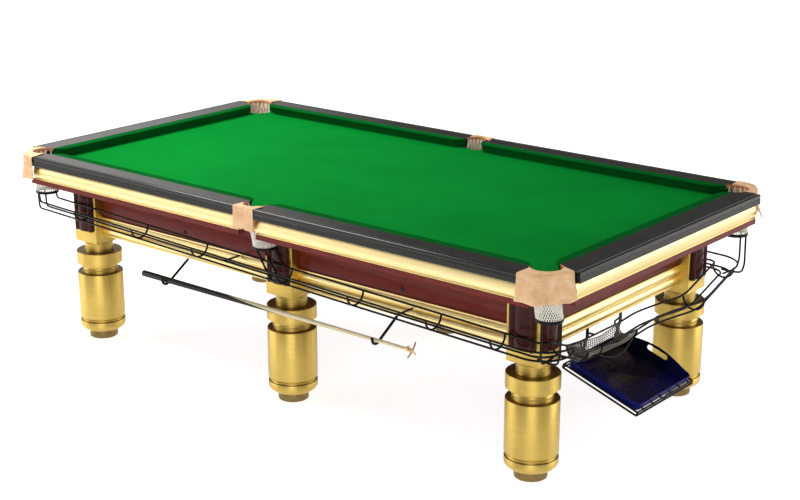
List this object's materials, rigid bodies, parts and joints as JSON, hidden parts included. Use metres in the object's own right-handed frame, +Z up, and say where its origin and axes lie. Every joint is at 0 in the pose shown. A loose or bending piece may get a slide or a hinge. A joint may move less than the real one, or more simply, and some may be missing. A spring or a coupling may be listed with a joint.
{
  "type": "pool table",
  "caption": "Nine-foot pool table with snooker-style cushions, net pockets, turned metal legs, open wire ball returns to a lift-out tray, and a rest on hooks under one side.",
  "frame": {"origin": "on the floor, at the middle of the table's bounding box", "axes": "+X along the table towards the ball tray, +Z up, -Y towards the side that carries the rest"},
  "size_m": [2.8784, 1.536, 0.85],
  "materials": {
    "black_lacquer": "black satin lacquer",
    "pale_gold": "pale gold anodised",
    "gold_trim": "gold anodised",
    "gold_leg": "brushed gold plating",
    "dark_gold": "dark gold paint",
    "burgundy_lacquer": "deep red gloss lacquer",
    "timber": "plain timber",
    "slate": "honed",
    "green_cloth": "napped wool cloth",
    "cushion_green": "rubber cushion under green cloth",
    "tan_leather": "tan suede",
    "black_wire": "black plastic-dipped wire",
    "blue_plastic": "dark blue moulded plastic",
    "rest_wood": "varnished pale wood with a black butt"
  },
  "bodies": {
    "table": {"cabinet_board": "burgundy_lacquer", "bearer_frame": "timber", "slate_head": "slate", "slate_middle": "slate", "slate_foot": "slate", "bed_cloth": "green_cloth", "rail_near_head": "black_lacquer", "band_near_head": "pale_gold", "cushion_near_head": "cushion_green", "apron_near_head": "burgundy_lacquer", "moulding_near_head": "gold_trim", "leather_near_head": "tan_leather", "rail_near_foot": "black_lacquer", "band_near_foot": "pale_gold", "cushion_near_foot": "cushion_green", "apron_near_foot": "burgundy_lacquer", "moulding_near_foot": "gold_trim", "leather_near_foot": "tan_leather", "leather_near_middle": "tan_leather", "leg_near_head": "gold_leg", "leg_near_middle": "gold_leg", "leg_near_foot": "gold_leg", "rail_far_head": "black_lacquer", "band_far_head": "pale_gold", "cushion_far_head": "cushion_green", "apron_far_head": "burgundy_lacquer", "moulding_far_head": "gold_trim", "leather_far_head": "tan_leather", "rail_far_foot": "black_lacquer", "band_far_foot": "pale_gold", "cushion_far_foot": "cushion_green", "apron_far_foot": "burgundy_lacquer", "moulding_far_foot": "gold_trim", "leather_far_foot": "tan_leather", "leather_far_middle": "tan_leather", "leg_far_head": "gold_leg", "leg_far_middle": "gold_leg", "leg_far_foot": "gold_leg", "rail_head": "black_lacquer", "band_head": "pale_gold", "cushion_head": "cushion_green", "apron_head": "burgundy_lacquer", "moulding_head": "gold_trim", "rail_foot": "black_lacquer", "band_foot": "pale_gold", "cushion_foot": "cushion_green", "apron_foot": "burgundy_lacquer", "moulding_foot": "gold_trim", "ball_return_near": "black_wire", "ball_return_far": "black_wire", "tray_rack": "black_wire", "rest_hanger": "black_wire"},
    "tray": {"ball_tray": "blue_plastic"},
    "rest_stick": {"rest": "rest_wood"},
    "foot_near_head": {"levelling_foot_near_head": "dark_gold"},
    "foot_near_middle": {"levelling_foot_near_middle": "dark_gold"},
    "foot_near_foot": {"levelling_foot_near_foot": "dark_gold"},
    "foot_far_head": {"levelling_foot_far_head": "dark_gold"},
    "foot_far_middle": {"levelling_foot_far_middle": "dark_gold"},
    "foot_far_foot": {"levelling_foot_far_foot": "dark_gold"}
  },
  "joints": [
    {"name": "tray_lift", "type": "slide", "parent": "table", "child": "tray", "axis": [0.319, 0, 0.9478], "range_m": [0, 0.04]},
    {"name": "rest_lift", "type": "slide", "parent": "table", "child": "rest_stick", "axis": [0, 0, 1], "range_m": [0, 0.06]},
    {"name": "level_near_head", "type": "slide", "parent": "table", "child": "foot_near_head", "axis": [0, 0, 1], "range_m": [-0.02, 0]},
    {"name": "level_near_middle", "type": "slide", "parent": "table", "child": "foot_near_middle", "axis": [0, 0, 1], "range_m": [-0.02, 0]},
    {"name": "level_near_foot", "type": "slide", "parent": "table", "child": "foot_near_foot", "axis": [0, 0, 1], "range_m": [-0.02, 0]},
    {"name": "level_far_head", "type": "slide", "parent": "table", "child": "foot_far_head", "axis": [0, 0, 1], "range_m": [-0.02, 0]},
    {"name": "level_far_middle", "type": "slide", "parent": "table", "child": "foot_far_middle", "axis": [0, 0, 1], "range_m": [-0.02, 0]},
    {"name": "level_far_foot", "type": "slide", "parent": "table", "child": "foot_far_foot", "axis": [0, 0, 1], "range_m": [-0.02, 0]}
  ]
}
